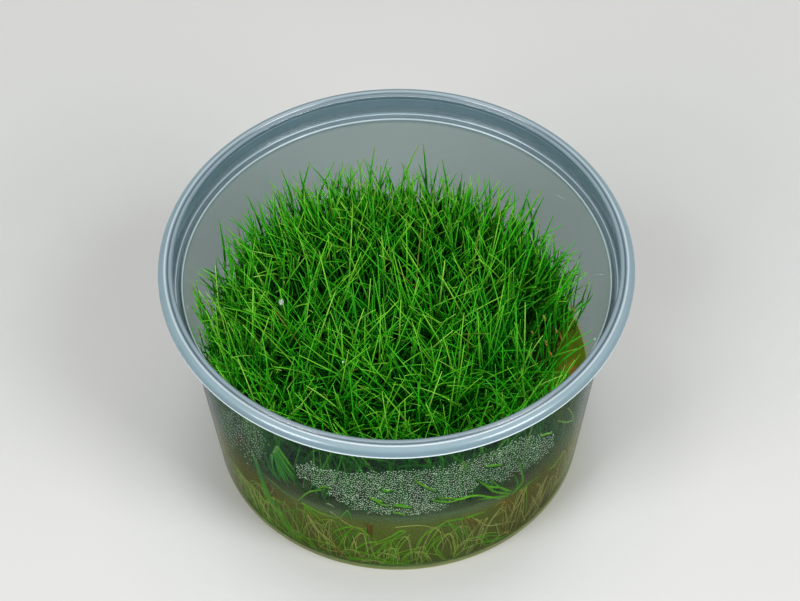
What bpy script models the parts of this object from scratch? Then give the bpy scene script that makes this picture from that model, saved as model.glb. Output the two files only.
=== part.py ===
"""Dwarf hairgrass growing in a round tissue-culture cup.

A thin moulded cup with a stepped rim holds a thick disc of agar gel. The turf is made of tufts,
and each tuft is one solid: a root plug that sits in a pocket of the gel, a sheaf of leaf bases
that widens upwards, and the pointed leaves that rise from it.
Metres, +Z up, origin at the centre of the cup's underside.
"""

import math
import random

import bmesh
import bpy
from mathutils import Matrix

# Cup
RIM_RADIUS = 0.0500          # outer face of the rim's skirt
CUP_HEIGHT = 0.0566
BASE_RADIUS = 0.0390         # outer wall where the base's rounding begins
BASE_ROUNDING = 0.0021
WALL = 0.0007
FLOOR = 0.0008
LEDGE_DEPTH = 0.00515        # stacking ledge, below the top of the rim
LEDGE_RADIUS = 0.04495       # inner edge of the ledge
LEDGE_WIDTH = 0.00155
BORE_RADIUS = 0.0468         # inner edge of the rim's flat top
CREST_RADIUS = 0.0486        # outer edge of the rim's flat top
SHOULDER_DEPTH = 0.00075     # rounded shoulder between the crest and the skirt
SKIRT_DEPTH = 0.00253
SKIRT_WALL = 0.0008
FLANGE = 0.0012              # thickness of the rim's top
NECK_RADIUS = 0.0475         # outside of the band between the flange and the ledge
CUP_SEGMENTS = 56
ARC_STEPS = 3

# Gel
GAP = 0.0003                 # clearance between pieces that touch
GEL_LEVEL = 0.0208           # top of the gel above the table
GEL_SEGMENTS = 48
POCKET_SIDES = 8

# Tufts
TUFT_RINGS = ((0.0, 1), (0.0115, 6), (0.0230, 13), (0.0340, 19))
STRAY = 0.0009               # how far a tuft may stand from its even place
WALL_CLEARANCE = 0.0011      # between the leaves and the cup's wall
TUFT_SIDES = 12
ROOT_DEPTH = 0.0085
ROOT_RADIUS = 0.0020
ROOT_TIP_RADIUS = 0.0009
WAIST_RADIUS = 0.0026        # leaf bases just above the gel
WAIST_RISE = 0.0012
CANOPY = 0.0448              # usual height of the leaf tips above the table
BACK_CANOPY = 0.0525         # highest tips, at the back of the cup
THIN_CANOPY = 0.0370         # tips in the thin patch at the right
SHOULDER_SHARE = 0.50        # how far up its height a tuft's leaves part
FLUTING = 0.15               # how far every second edge of the sheaf is drawn in
HEART_SHARE = 0.45           # size of the ring of leaves inside a tuft's crown
SHORT_LEAF = 0.55            # the shortest leaf's share of the way from the parting to the top
SEED = 11

SLOPE = (LEDGE_RADIUS - BASE_RADIUS + WALL) / (CUP_HEIGHT - LEDGE_DEPTH - BASE_ROUNDING)


def wall_inside(height):
    """Inner radius of the tapered wall at a height above the table."""
    return BASE_RADIUS - WALL + SLOPE * (height - BASE_ROUNDING)


def arc(centre_x, centre_z, radius, start, end):
    """Points on an arc in the XZ plane, angles in degrees from +X towards +Z."""
    points = []
    for step in range(ARC_STEPS + 1):
        angle = math.radians(start + (end - start) * step / ARC_STEPS)
        points.append((centre_x + radius * math.cos(angle), centre_z + radius * math.sin(angle)))
    return points


def cup_profile():
    """Section of the cup, from the floor's centre up the inside, over the rim and down the outside."""
    top = CUP_HEIGHT
    ledge = top - LEDGE_DEPTH
    inner_rounding = BASE_ROUNDING - WALL
    floor_corner = wall_inside(FLOOR + inner_rounding) - inner_rounding
    points = [(0.0, FLOOR)]
    points += arc(floor_corner, FLOOR + inner_rounding, inner_rounding, -90, 0)
    points += [(LEDGE_RADIUS, ledge), (LEDGE_RADIUS + LEDGE_WIDTH, ledge), (BORE_RADIUS, top)]
    shoulder_width = RIM_RADIUS - CREST_RADIUS
    for step in range(ARC_STEPS + 1):
        turn = math.radians(90 * step / ARC_STEPS)
        points.append((CREST_RADIUS + shoulder_width * math.sin(turn),
                       top - SHOULDER_DEPTH * (1 - math.cos(turn))))
    points += [(RIM_RADIUS, top - SKIRT_DEPTH), (RIM_RADIUS - SKIRT_WALL, top - SKIRT_DEPTH)]
    points += [(RIM_RADIUS - SKIRT_WALL, top - FLANGE), (NECK_RADIUS, top - FLANGE)]
    points += [(NECK_RADIUS - 0.0003, ledge - 0.5 * WALL), (LEDGE_RADIUS + WALL, ledge - WALL)]
    points += arc(BASE_RADIUS - BASE_ROUNDING, BASE_ROUNDING, BASE_ROUNDING, 0, -90)
    points.append((0.0, 0.0))
    return points


def gel_profile():
    """Section of the gel, from its top's centre out, down the wall and back along the floor."""
    bottom = FLOOR + GAP
    rounding = BASE_ROUNDING - WALL
    points = [(0.0, GEL_LEVEL), (wall_inside(GEL_LEVEL) - GAP, GEL_LEVEL)]
    points += arc(wall_inside(bottom + rounding) - GAP - rounding, bottom + rounding, rounding, 0, -90)
    points.append((0.0, bottom))
    return points


def material(name, colour, roughness, alpha=1.0):
    """A plain Principled material."""
    made = bpy.data.materials.new(name)
    made.use_nodes = True
    shader = made.node_tree.nodes["Principled BSDF"]
    shader.inputs["Base Color"].default_value = (*colour, 1.0)
    shader.inputs["Roughness"].default_value = roughness
    shader.inputs["Metallic"].default_value = 0.0
    shader.inputs["Alpha"].default_value = alpha
    return made


def place(name, mesh, collection, surface=None):
    """An object for a mesh, linked to a collection."""
    made = bpy.data.objects.new(name, mesh)
    collection.objects.link(made)
    if surface is not None:
        mesh.materials.append(surface)
    return made


def turned(name, profile, segments, collection, surface):
    """A turned piece: the profile's edges with a Screw modifier about Z."""
    mesh = bpy.data.meshes.new(name)
    corners = [(radius, 0.0, height) for radius, height in profile]
    mesh.from_pydata(corners, [(i, i + 1) for i in range(len(corners) - 1)], [])
    made = place(name, mesh, collection, surface)
    screw = made.modifiers.new("Turn", 'SCREW')
    screw.steps = segments
    screw.render_steps = segments
    screw.use_merge_vertices = True
    screw.merge_threshold = 0.00001
    screw.use_smooth_shade = True
    return made


def tuft_places(chance):
    """Where the tufts stand on the gel: rings of places, each one a little astray."""
    places = []
    for ring, (radius, count) in enumerate(TUFT_RINGS):
        for index in range(count):
            angle = 2 * math.pi * (index + 0.5 * (ring % 2)) / count
            x = radius * math.cos(angle) + chance.uniform(-STRAY, STRAY)
            y = radius * math.sin(angle) + chance.uniform(-STRAY, STRAY)
            places.append((x, y))
    return places


def room(x, y, angle, places):
    """How far a tuft may reach at the gel's level: half way to each neighbour, and to the wall."""
    across, along = math.cos(angle), math.sin(angle)
    limit = wall_inside(GEL_LEVEL) - WALL_CLEARANCE
    outward = x * across + y * along
    reach = math.sqrt(outward ** 2 + limit ** 2 - x ** 2 - y ** 2) - outward
    for other_x, other_y in places:
        apart = math.hypot(other_x - x, other_y - y)
        if apart == 0.0:
            continue
        towards = ((other_x - x) * across + (other_y - y) * along) / apart
        if towards > 0.05:
            reach = min(reach, (apart - GAP) / 2 / towards)
    return reach - GAP / 2


def canopy_height(x, y):
    """Height of the leaf tips over a place on the gel: higher at the back, low at the thin patch."""
    back = max(0.0, min(1.0, (y - 0.016) / 0.016)) * max(0.0, 1.0 - abs(x) / 0.030)
    thin = max(0.0, min(1.0, (x - 0.026) / 0.006)) * max(0.0, 1.0 - abs(y + 0.006) / 0.016)
    height = CANOPY + (BACK_CANOPY - CANOPY) * back
    return height + (THIN_CANOPY - height) * thin


def spread(x, y, height):
    """Moves a point outwards as the cup widens above the gel."""
    widening = wall_inside(height) / wall_inside(GEL_LEVEL) if height > GEL_LEVEL else 1.0
    return x * widening, y * widening


def make_pocket_cutter(places, collection):
    """One mesh of tapered pegs, a little larger than the root plugs, that cuts the gel's pockets."""
    shape = bmesh.new()
    clearance = GAP / math.cos(math.pi / POCKET_SIDES)
    growth = 1 / math.cos(math.pi / POCKET_SIDES)
    depth = ROOT_DEPTH + 2 * GAP
    above = 0.0010
    taper = (ROOT_RADIUS - ROOT_TIP_RADIUS) / ROOT_DEPTH
    for x, y in places:
        middle = Matrix.Translation((x, y, GEL_LEVEL + (above - depth) / 2))
        bmesh.ops.create_cone(
            shape, cap_ends=True, cap_tris=False, segments=POCKET_SIDES,
            radius1=ROOT_TIP_RADIUS * growth + clearance,
            radius2=(ROOT_RADIUS + taper * above) * growth + clearance,
            depth=depth + above, matrix=middle)
    mesh = bpy.data.meshes.new("pocket_pegs")
    shape.to_mesh(mesh)
    shape.free()
    pegs = place("pocket_pegs", mesh, collection)
    pegs.hide_render = True
    pegs.display_type = 'WIRE'
    return pegs


def make_gel(pegs, collection, surface):
    """The agar gel, a turned disc with an open pocket for each tuft's roots."""
    gel = turned("agar_gel", gel_profile(), GEL_SEGMENTS, collection, surface)
    cut = gel.modifiers.new("Pockets", 'BOOLEAN')
    cut.operation = 'DIFFERENCE'
    cut.solver = 'EXACT'
    cut.object = pegs
    return gel


def ring_of(shape, height, turn, reach_at):
    """A ring of points about a tuft's middle, at the reach that a function gives for each side."""
    ring = []
    for side in range(TUFT_SIDES):
        angle = turn + 2 * math.pi * side / TUFT_SIDES
        reach = reach_at(side, angle)
        ring.append(shape.verts.new((reach * math.cos(angle), reach * math.sin(angle), height)))
    return ring


def join_rings(shape, lower, upper):
    """A band of faces between two rings."""
    for side in range(TUFT_SIDES):
        after = (side + 1) % TUFT_SIDES
        shape.faces.new((lower[side], lower[after], upper[after], upper[side]))


def raise_leaf(shape, face, height, reach_limit, chance):
    """Draws one face of a tuft's crown up into a pointed leaf that stays within the tuft's room."""
    middle = face.calc_center_median()
    tip = bmesh.ops.poke(shape, faces=[face])["verts"][0]
    distance = math.hypot(middle.x, middle.y)
    angle = math.atan2(middle.y, middle.x)
    reach = min(distance * chance.uniform(0.85, 1.5), 0.96 * reach_limit(angle))
    tip.co = (reach * math.cos(angle), reach * math.sin(angle), height)


def make_tuft(name, x, y, places, collection, surface, chance):
    """One tuft: root plug, waist, fluted sheaf of leaf bases and a crown of pointed leaves."""
    def limit(angle):
        return room(x, y, angle, places)

    shape = bmesh.new()
    turn = chance.uniform(0, 2 * math.pi)
    top = canopy_height(x, y) + chance.uniform(-0.0015, 0.0012)
    parting = GEL_LEVEL + (top - GEL_LEVEL) * SHOULDER_SHARE
    plug_end = ring_of(shape, GEL_LEVEL - ROOT_DEPTH, turn, lambda side, angle: ROOT_TIP_RADIUS)
    plug_top = ring_of(shape, GEL_LEVEL, turn, lambda side, angle: ROOT_RADIUS)
    waist = ring_of(shape, GEL_LEVEL + WAIST_RISE, turn, lambda side, angle: WAIST_RADIUS)
    shoulder = ring_of(shape, parting, turn,
                       lambda side, angle: limit(angle) * (1 - FLUTING * (side % 2)))
    heart = ring_of(shape, parting - 0.0015, turn, lambda side, angle: limit(angle) * HEART_SHARE)
    shape.faces.new(plug_end[::-1])
    for lower, upper in ((plug_end, plug_top), (plug_top, waist), (waist, shoulder)):
        join_rings(shape, lower, upper)
    first_crown_face = len(shape.faces)
    join_rings(shape, shoulder, heart)
    shape.faces.new(heart)
    shape.faces.ensure_lookup_table()
    for face in shape.faces[first_crown_face:]:
        height = parting + (top - parting) * chance.uniform(SHORT_LEAF, 1.0)
        raise_leaf(shape, face, height, limit, chance)
    for vert in shape.verts:
        vert.co.x, vert.co.y = spread(x + vert.co.x, y + vert.co.y, vert.co.z)
    bmesh.ops.recalc_face_normals(shape, faces=shape.faces)
    mesh = bpy.data.meshes.new(name)
    shape.to_mesh(mesh)
    shape.free()
    return place(name, mesh, collection, surface)


def main():
    for item in list(bpy.data.objects):
        bpy.data.objects.remove(item, do_unlink=True)
    parts = bpy.data.collections.new("dwarf_hairgrass")
    cutters = bpy.data.collections.new("cutters")
    bpy.context.scene.collection.children.link(parts)
    bpy.context.scene.collection.children.link(cutters)

    milky_plastic = material("milky_plastic", (0.52, 0.62, 0.68), 0.28, 0.45)
    amber_gel = material("amber_gel", (0.38, 0.34, 0.09), 0.12, 0.75)
    leaf_green = material("leaf_green", (0.10, 0.42, 0.03), 0.45)

    turned("cup", cup_profile(), CUP_SEGMENTS, parts, milky_plastic)
    chance = random.Random(SEED)
    places = tuft_places(chance)
    make_gel(make_pocket_cutter(places, cutters), parts, amber_gel)
    for number, (x, y) in enumerate(places, start=1):
        make_tuft(f"tuft_{number:02d}", x, y, places, parts, leaf_green, chance)


main()
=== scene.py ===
import math
import random

import bpy
import numpy as np
from mathutils import Matrix, Vector


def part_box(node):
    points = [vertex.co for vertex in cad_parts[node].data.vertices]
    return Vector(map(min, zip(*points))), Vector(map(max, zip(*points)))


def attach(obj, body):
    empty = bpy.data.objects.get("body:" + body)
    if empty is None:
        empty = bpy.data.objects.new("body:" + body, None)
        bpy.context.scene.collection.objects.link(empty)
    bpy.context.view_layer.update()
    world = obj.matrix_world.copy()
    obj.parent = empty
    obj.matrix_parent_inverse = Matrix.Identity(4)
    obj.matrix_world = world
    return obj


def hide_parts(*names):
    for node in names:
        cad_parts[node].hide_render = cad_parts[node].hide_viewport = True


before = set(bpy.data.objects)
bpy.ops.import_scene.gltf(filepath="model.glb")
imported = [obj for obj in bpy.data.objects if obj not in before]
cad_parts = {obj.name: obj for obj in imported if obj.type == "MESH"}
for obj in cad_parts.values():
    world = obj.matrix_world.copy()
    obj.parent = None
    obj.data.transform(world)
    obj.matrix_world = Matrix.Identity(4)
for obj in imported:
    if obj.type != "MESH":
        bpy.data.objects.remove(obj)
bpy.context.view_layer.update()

mm = 0.001


# material tree helpers


class Link:
    # a socket of a material, ready for sums
    def __init__(self, sheet, socket):
        self.sheet = sheet
        self.socket = socket

    def sum(self, operation, first, second):
        return self.sheet.node("ShaderNodeMath", {"operation": operation}, {0: first, 1: second})

    def __add__(self, other):
        return self.sum("ADD", self, other)

    def __radd__(self, other):
        return self.sum("ADD", other, self)

    def __sub__(self, other):
        return self.sum("SUBTRACT", self, other)

    def __rsub__(self, other):
        return self.sum("SUBTRACT", other, self)

    def __mul__(self, other):
        return self.sum("MULTIPLY", self, other)

    def __rmul__(self, other):
        return self.sum("MULTIPLY", other, self)

    def __pow__(self, other):
        return self.sum("POWER", self, other)


class Sheet:
    # one material and its nodes
    def __init__(self, name):
        self.material = bpy.data.materials.new(name)
        self.material.use_nodes = True
        self.tree = self.material.node_tree
        self.tree.nodes.clear()

    def node(self, kind, settings=None, sockets=None, out=0):
        made = self.tree.nodes.new(kind)
        for key, value in (settings or {}).items():
            if key == "stops":
                while len(made.color_ramp.elements) < len(value):
                    made.color_ramp.elements.new(1.0)
                for element, (place, colour) in zip(made.color_ramp.elements, value):
                    element.position = place
                    element.color = (*colour, 1.0)
            else:
                setattr(made, key, value)
        for key, value in (sockets or {}).items():
            if isinstance(value, Link):
                self.tree.links.new(value.socket, made.inputs[key])
            else:
                made.inputs[key].default_value = value
        return Link(self, made.outputs[out])

    def blend(self, mask, first, second):
        colours = {0: mask, 6: first, 7: second}
        for key in (6, 7):
            if isinstance(colours[key], tuple):
                colours[key] = (*colours[key], 1.0)
        return self.node("ShaderNodeMix", {"data_type": "RGBA", "clamp_factor": True}, colours, 2)

    def noise(self, place, scale, detail=2.0, roughness=0.5):
        return self.node("ShaderNodeTexNoise", {}, {
            "Vector": place, "Scale": scale, "Detail": detail, "Roughness": roughness})

    def ease(self, value, low, high, least=0.0, most=1.0):
        return self.node("ShaderNodeMapRange", {"interpolation_type": "SMOOTHSTEP"}, {
            0: value, 1: low, 2: high, 3: least, 4: most})

    # an ease between two places in mm, counted from a base
    def fade(self, value, limits, base=0.0):
        return self.ease(value, (base + limits[0]) * mm, (base + limits[1]) * mm, *limits[2:])

    def values(self, name):
        return self.node("ShaderNodeAttribute", {"attribute_name": name}, {}, "Fac")

    def place(self):
        return self.node("ShaderNodeTexCoord", {}, {}, "Object")

    def axes(self, place):
        return [self.node("ShaderNodeSeparateXYZ", {}, {0: place}, axis) for axis in "XYZ"]

    def finish(self, surface, volume=None):
        output = self.tree.nodes.new("ShaderNodeOutputMaterial")
        self.tree.links.new(surface.socket, output.inputs["Surface"])
        if volume is not None:
            self.tree.links.new(volume.socket, output.inputs["Volume"])
        return self.material

    # glass that lets the lamps through to what is inside it
    def letLampsThrough(self, surface, tint):
        shadow = self.node("ShaderNodeLightPath", {}, {}, "Is Shadow Ray")
        clear = self.node("ShaderNodeBsdfTransparent", {}, {"Color": (*tint, 1.0)})
        return self.node("ShaderNodeMixShader", {}, {0: shadow, 1: surface, 2: clear})


# camera and the photograph's frame

cameraView = {
    "place": (0.0, -0.64436, 0.82132),
    "aim": (0.00066, 0.0, 0.04425),
    "roll": -0.79,          # degrees
    "lens": 215.04,
    "sensor": 36.0,
    "photoSize": (800, 601),
    "rise": (0.765, 0.644),     # how far a step back and a step up carry up the view, on average
}


def makeCamera():
    data = bpy.data.cameras.new("camera")
    data.lens = cameraView["lens"]
    data.sensor_width = cameraView["sensor"]
    data.sensor_fit = "HORIZONTAL"
    data.clip_start = 0.01
    made = bpy.data.objects.new("camera", data)
    bpy.context.scene.collection.objects.link(made)
    toward = Vector(cameraView["aim"]) - Vector(cameraView["place"])
    turn = toward.to_track_quat("-Z", "Y").to_matrix()
    roll = math.radians(cameraView["roll"])
    right = turn.col[0] * math.cos(roll) + turn.col[1] * math.sin(roll)
    up = turn.col[1] * math.cos(roll) - turn.col[0] * math.sin(roll)
    back = turn.col[2]
    made.matrix_world = Matrix((
        (right.x, up.x, back.x, cameraView["place"][0]),
        (right.y, up.y, back.y, cameraView["place"][1]),
        (right.z, up.z, back.z, cameraView["place"][2]),
        (0, 0, 0, 1)))
    bpy.context.scene.camera = made
    return np.array(right), np.array(up), -np.array(back)


viewRight, viewUp, viewAhead = makeCamera()
print("camera made")


# the line of sight through a pixel of the photograph
def sightLine(pixelX, pixelY):
    width, height = cameraView["photoSize"]
    focal = cameraView["lens"] / cameraView["sensor"] * width
    line = viewAhead + viewRight * (pixelX - width / 2) / focal - viewUp * (pixelY - height / 2) / focal
    return line / np.linalg.norm(line)


# the point that a pixel shows at a height in mm
def heightPoint(pixelX, pixelY, height):
    eye = np.array(cameraView["place"])
    line = sightLine(pixelX, pixelY)
    return eye + line * (height * mm - eye[2]) / line[2]


# the cup

# all in mm
cup = {
    "height": 56.6, "base": 39.0, "baseRounding": 2.1, "wall": 0.7, "floor": 0.5, "floorRounding": 1.7,
    "ledgeDepth": 5.15, "ledgeInner": 44.95, "ledgeOuter": 46.5,
    # the rim from the bore outwards and down its skirt: radius, depth below the top, rounding
    "rim": ((46.81, 0.12, 0.25), (47.0, 0.0, 0.15), (47.3, 0.0, 0.2), (47.72, 0.02, 0.1), (47.95, 0.32, 0.12),
            (48.2, 0.02, 0.1), (48.6, 0.0, 0.25), (49.55, 0.4, 0.5), (50.0, 1.05, 0.5), (50.0, 2.02, 0.08),
            (49.9, 2.12, 0.08), (49.93, 2.53, 0.12)),
    "skirtInner": 49.2, "skirtDepth": 2.53, "flange": 1.2, "neck": 47.5, "neckIn": 0.3, "neckDrop": 0.35,
    "outerRounding": 0.3, "ledgeRoundings": (0.28, 0.34), "skirtRounding": 0.12,
    "segments": 320, "cornerSteps": 6,
}
wallSlope = (cup["ledgeInner"] - cup["base"] + cup["wall"]) / (
    cup["height"] - cup["ledgeDepth"] - cup["baseRounding"])


# inner radius of the wall at a height, both in metres
def wallInside(height):
    return (cup["base"] - cup["wall"] - wallSlope * cup["baseRounding"]) * mm + wallSlope * height


# a line through corners (radius, height, rounding), in mm; a rounding takes up at most a share of a side
def easedLine(corners, steps, most=0.48):
    line = [corners[0][:2]]
    for before, here, after in zip(corners, corners[1:], corners[2:]):
        corner = np.array(here[:2])
        back = np.array(before[:2]) - corner
        ahead = np.array(after[:2]) - corner
        if here[2] == 0:
            line.append(tuple(corner))
            continue
        start = corner + back * min(here[2] / np.linalg.norm(back), most)
        end = corner + ahead * min(here[2] / np.linalg.norm(ahead), most)
        for step in range(steps + 1):
            t = step / steps
            line.append(tuple((1 - t) ** 2 * start + 2 * t * (1 - t) * corner + t ** 2 * end))
    line.append(corners[-1][:2])
    return line


def smoothMesh(name, verts, faces):
    mesh = bpy.data.meshes.new(name)
    mesh.from_pydata(verts, [], faces)
    mesh.shade_smooth()
    return mesh


# a turned mesh from a line of (radius, height) in mm; points on the axis are single vertices
def turnedMesh(name, line, segments, shift=None):
    angles = np.arange(segments) * 2 * math.pi / segments
    verts, rows = [], []
    for radius, height in line:
        if radius < 1e-6:
            rows.append([len(verts)] * segments)
            verts.append((0.0, 0.0, height * mm))
        else:
            rows.append(list(range(len(verts), len(verts) + segments)))
            for angle in angles:
                r, z = (radius, height) if shift is None else shift(radius, height, angle)
                verts.append((r * mm * math.cos(angle), r * mm * math.sin(angle), z * mm))
    faces = []
    for lower, upper in zip(rows, rows[1:]):
        for k in range(segments):
            n = (k + 1) % segments
            corners = [lower[k], upper[k], upper[n], lower[n]]
            faces.append([c for i, c in enumerate(corners) if c not in corners[:i]])
    return smoothMesh(name, verts, faces)


def addPiece(name, mesh, material, nodes=()):
    made = bpy.data.objects.new(name, mesh)
    mesh.materials.append(material)
    bpy.context.scene.collection.objects.link(made)
    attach(made, "root")
    if nodes:
        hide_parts(*nodes)
    return made


def cupLine():
    top, ledge, eased = cup["height"], cup["height"] - cup["ledgeDepth"], cup["outerRounding"]
    corners = [(0, cup["floor"], 0), (wallInside(cup["floor"] * mm) / mm, cup["floor"], cup["floorRounding"]),
               (cup["ledgeInner"], ledge, cup["ledgeRoundings"][0]),
               (cup["ledgeOuter"], ledge, cup["ledgeRoundings"][1])]
    corners += [(radius, top - depth, rounding) for radius, depth, rounding in cup["rim"]]
    corners += [
        (cup["skirtInner"], top - cup["skirtDepth"], cup["skirtRounding"]),
        (cup["skirtInner"], top - cup["flange"], eased),
        (cup["neck"], top - cup["flange"], eased),
        (cup["neck"] - cup["neckIn"], ledge - cup["neckDrop"], eased),
        (cup["ledgeInner"] + cup["wall"], ledge - cup["wall"], eased),
        (cup["base"] - wallSlope * cup["baseRounding"], 0.0, cup["baseRounding"]), (0, 0.0, 0)]
    return easedLine(corners, cup["cornerSteps"])


plasticLook = {
    "wall": (0.35, 0.43, 0.42), "gelWall": (0.40, 0.43, 0.21), "wallBend": 1.03, "wallHaze": 0.10,
    "rim": (0.19, 0.27, 0.31), "rimBend": 1.49, "rimHaze": 0.10,
    # colour of the milky part from the bore outwards, as shares of the way to the outer edge
    # the dark stop at 0.40 is a painted shade in the groove on top, and the light one at 0.585 a painted
    # highlight along the crest
    "rings": ((0.0, (0.14, 0.20, 0.23)), (0.10, (0.19, 0.25, 0.28)), (0.30, (0.21, 0.27, 0.30)),
              (0.40, (0.05, 0.08, 0.10)), (0.48, (0.17, 0.23, 0.26)), (0.585, (0.44, 0.51, 0.54)),
              (0.66, (0.20, 0.27, 0.30)), (0.88, (0.20, 0.28, 0.31)), (1.0, (0.14, 0.22, 0.26))),
    "ringsFrom": 0.0466, "ringsTo": 0.0500,
    # at the foot, a painted glow along the edge with painted shade just above it
    # the skirt line is a painted highlight along the skirt's lower edge
    "skirtHighlight": (0.66, 0.76, 0.80), "footGlow": (0.44, 0.46, 0.09), "footShade": (0.10, 0.12, 0.015),
    # the edge colour is a painted highlight along the ledge's two edges
    "edge": (0.44, 0.52, 0.55),
    "haze": (0.15, 0.27, 0.29),
    "clearness": 0.99,
    "rimMilk": 0.80, "ledgeMilk": 0.10, "edgeHighlightMilk": 0.42, "cloudMilk": 0.016, "footMilk": 0.60,
    "lampTint": (0.76, 0.80, 0.81), "speck": (0.02, 0.03, 0.04),
    "cloud": (55.0, 3.0), "cloudShow": (0.35, 0.75, 0.3), "drift": (170.0, 2.0),      # scale and detail
    "mould": 0.01, "mouldStrength": 0.4,                    # depth of the moulding texture, mm
    "hazeDrift": 0.04, "speckShare": 0.15, "milkRoughness": 0.22, "milkDrift": 0.05,
    # where each finish fades in, in mm: radii, heights, or heights from the ledge or the top
    "upperFromLedge": (-1.2, -0.6), "stepFromLedge": (1.0, 0.0),
    "edgeHighlightFromLedge": ((-0.4, -0.1), (0.3, 0.1)), "edgeHighlightRadii": ((45.4, 45.1), (46.2, 46.4)),
    "rimRadius": (46.6, 47.4), "rimFromTop": (-4.6, -3.0),
    "skirtRadius": (48.4, 48.9), "skirtFromTop": (-1.9, -2.2), "wallRadius": (45.2, 44.6),
    "footHeight": (3.2, 2.2), "footRadius": (36.0, 37.2), "footEdge": (1.7, 1.2),
    "wetHeight": (22.8, 20.6), "wetWave": 1.6,
}


def milkyPlastic():
    look = plasticLook
    sheet = Sheet("milky_plastic_surface")
    place = sheet.place()
    x, y, height = sheet.axes(place)
    radius = (x * x + y * y) ** 0.5
    top, ledge = cup["height"], cup["height"] - cup["ledgeDepth"]
    upper = sheet.fade(height, look["upperFromLedge"], ledge)
    rim = sheet.fade(radius, look["rimRadius"]) * sheet.fade(height, look["rimFromTop"], top)
    step = upper * sheet.fade(height, look["stepFromLedge"], ledge)
    # the ledge's two edges, for their painted highlight lines
    below, above = [sheet.fade(height, limits, ledge) for limits in look["edgeHighlightFromLedge"]]
    inner, outer = [sheet.fade(radius, limits) for limits in look["edgeHighlightRadii"]]
    edge = below * above * (inner + outer)
    cloud = sheet.noise(place, *look["cloud"])
    drift = sheet.noise(place, *look["drift"])
    # the foot, with a painted glow along its edge and painted shade above it
    foot = sheet.fade(height, look["footHeight"]) * sheet.fade(radius, look["footRadius"])
    footEdge = sheet.fade(height, look["footEdge"])
    # the skirt's lower edge, for its painted highlight
    skirt = sheet.fade(height, look["skirtFromTop"], top) * sheet.fade(radius, look["skirtRadius"])
    milkShare = (edge * look["edgeHighlightMilk"] + rim * look["rimMilk"] + step * look["ledgeMilk"]
                 + foot * look["footMilk"] + sheet.ease(cloud, *look["cloudShow"]) * look["cloudMilk"])
    # the milk's colour in rings across the rim, with a painted shade in the groove and a painted highlight on
    # the crest
    across = sheet.node("ShaderNodeMapRange", {}, {0: radius, 1: look["ringsFrom"], 2: look["ringsTo"]})
    milkColour = sheet.node("ShaderNodeValToRGB", {"stops": look["rings"]}, {0: across})
    milkColour = sheet.blend(sheet.fade(radius, look["wallRadius"]), milkColour, look["haze"])
    milkColour = sheet.blend(skirt * rim, milkColour, look["skirtHighlight"])
    milkColour = sheet.blend(edge, milkColour, look["edge"])
    milkColour = sheet.blend(foot, milkColour, sheet.blend(footEdge, look["footShade"], look["footGlow"]))
    bump = sheet.node("ShaderNodeBump", {}, {
        "Strength": look["mouldStrength"], "Distance": look["mould"] * mm, "Height": drift})
    # a film of gel stains the wall up to the gel's level
    wet = sheet.fade(height + look["wetWave"] * mm * drift, look["wetHeight"])
    tints = {"wall": sheet.blend(wet, look["wall"], look["gelWall"]), "rim": (*look["rim"], 1.0)}
    clear = [sheet.node("ShaderNodeBsdfPrincipled", {}, {
        "Base Color": tints[part], "Roughness": look[part + "Haze"] + look["hazeDrift"] * drift,
        "IOR": look[part + "Bend"], "Transmission Weight": look["clearness"], "Normal": bump})
        for part in ("wall", "rim")]
    milk = sheet.node("ShaderNodeBsdfPrincipled", {}, {
        "Base Color": sheet.blend(drift * look["speckShare"], milkColour, look["speck"]),
        "Roughness": look["milkRoughness"] + look["milkDrift"] * drift, "IOR": look["rimBend"],
        "Normal": bump})
    shell = sheet.node("ShaderNodeMixShader", {}, {0: upper, 1: clear[0], 2: clear[1]})
    shell = sheet.node("ShaderNodeMixShader", {}, {0: milkShare, 1: shell, 2: milk})
    return sheet.finish(sheet.letLampsThrough(shell, look["lampTint"]))


addPiece("tissue_cup", turnedMesh("tissue_cup", cupLine(), cup["segments"]), milkyPlastic(),
         ["cup"])
print("cup made")


# the gel

gel = {
    "level": 20.8, "meniscus": 0.5, "clearance": 0.30, "rise": 0.10, "footRounding": 1.5,      # mm
    "unevenness": 0.18, "waveBand": 0.1,                    # mm, and how far from the level it reaches
    "waves": (0.31, 2.0, 0.17, 1.7),                        # how fast it turns outwards and round
    "segments": 160, "rings": 26, "cornerSteps": 8,
    "colour": (0.145, 0.112, 0.018), "green": (0.165, 0.20, 0.078), "shade": (0.016, 0.028, 0.004),
    "top": (0.085, 0.125, 0.008), "topStain": (0.22, 0.11, 0.02),
    "clearness": 0.35, "bend": 1.12, "lampTint": (0.8, 0.8, 0.6),
    "absorption": (0.70, 0.64, 0.14), "density": 75.0,
    "greenAcross": (0.0009, 0.0001),                        # from 30 to 10 mm, squared, in metres
    "greenBack": (0.0, -15.0), "topHeight": (19.5, 20.2), "topBack": (-31.0, -23.0),        # mm
    "underRadius": (35.0, 32.0), "underBack": 0.35,         # mm, and how much wider it is at the back
    "climb": 1.6, "leafDepth": 0.6, "lowestTip": 5.0,       # mm
    "cloud": (70.0, 4.0, 0.6), "cloudShow": (0.35, 0.75),
    "greenShares": (0.8, 0.3),                              # in the middle, and in the clouds
    "stain": (260.0, 2.0), "stainShow": (0.56, 0.72),
    "ripple": (380.0, 2.0), "rippleDepth": 0.1, "rippleStrength": 0.3, "roughness": 0.10,
}
# where the leaves start, and how low a leaf may end
leafFoot = (gel["level"] - gel["leafDepth"]) * mm
lowestTip = (gel["level"] + gel["lowestTip"]) * mm


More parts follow.
